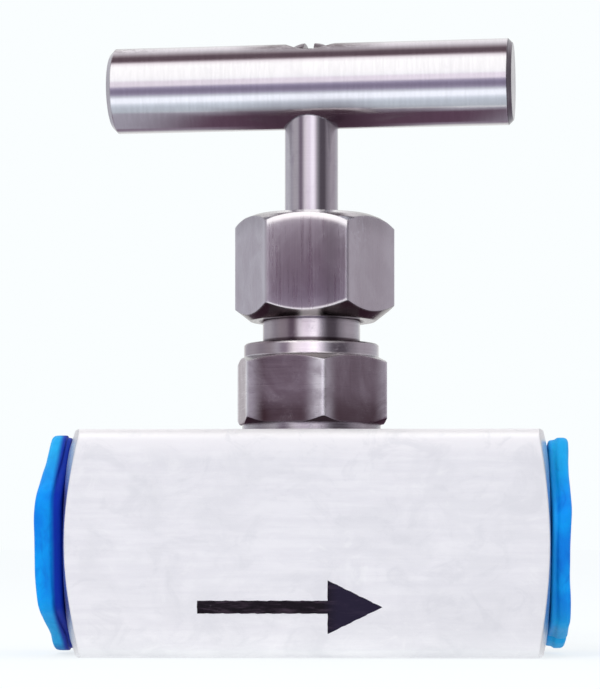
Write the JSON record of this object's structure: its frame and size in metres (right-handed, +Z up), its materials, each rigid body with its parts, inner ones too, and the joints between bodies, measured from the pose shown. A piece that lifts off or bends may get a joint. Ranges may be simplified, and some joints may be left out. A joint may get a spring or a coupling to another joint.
{
  "type": "needle valve",
  "caption": "Hand-operated needle valve: square bar-stock body, in-line female threaded ports with plastic plugs, hexagon bonnet and gland nut, rising stem with T-bar handle.",
  "frame": {"origin": "centre of the flat base of the body, straight below the point where the port axis crosses the stem axis", "axes": "+Z up along the stem, +X along the port axis in the direction of flow (outlet), the front face with the arrow faces -Y"},
  "size_m": [0.0774, 0.033, 0.0913],
  "materials": {
    "body_steel": "fine bead-blasted stainless steel, nearly white",
    "machined_steel": "turned and brushed stainless steel",
    "hardened_steel": "ground hardened stainless steel",
    "ball_steel": "polished bearing ball",
    "handle_steel": "bright drawn bar with fine turned marks",
    "screw_steel": "plain machine-screw steel",
    "copper": "soft annealed copper",
    "ptfe": "white moulded fluoropolymer packing",
    "blue_polyethylene": "blue moulded polyethylene, slightly waxy"
  },
  "bodies": {
    "valve": {"valve_body": "body_steel", "bonnet_gasket": "copper", "bonnet": "machined_steel", "packing_washer": "machined_steel", "packing_bottom_adapter": "ptfe", "packing_ring_1": "ptfe", "packing_ring_2": "ptfe", "packing_ring_3": "ptfe", "packing_ring_4": "ptfe", "packing_top_adapter": "ptfe", "gland_follower": "machined_steel", "gland_nut": "machined_steel"},
    "needle": {"needle_tip": "hardened_steel", "thrust_ball": "ball_steel"},
    "stem_and_handle": {"stem": "machined_steel", "tip_retaining_ring": "hardened_steel", "handle_bar": "handle_steel", "handle_screw": "screw_steel"},
    "left_cap": {"left_port_cap": "blue_polyethylene"},
    "right_cap": {"right_port_cap": "blue_polyethylene"}
  },
  "joints": [
    {"name": "needle_travel", "type": "slide", "parent": "valve", "child": "needle", "axis": [0, 0, 1], "range_m": [0, 0.0046]},
    {"name": "stem_turn", "type": "hinge", "parent": "needle", "child": "stem_and_handle", "pos_m": [0, 0, 0.0365], "axis": [0, 0, 1], "range_deg": [0, 1620]},
    {"name": "left_cap_pull", "type": "slide", "parent": "valve", "child": "left_cap", "axis": [-1, 0, 0], "range_m": [0, 0.06]},
    {"name": "right_cap_pull", "type": "slide", "parent": "valve", "child": "right_cap", "axis": [1, 0, 0], "range_m": [0, 0.06]}
  ],
  "couplings": [
    {"joint": "needle_travel", "follows": "stem_turn", "m_per_rad": 0.00015915}
  ]
}
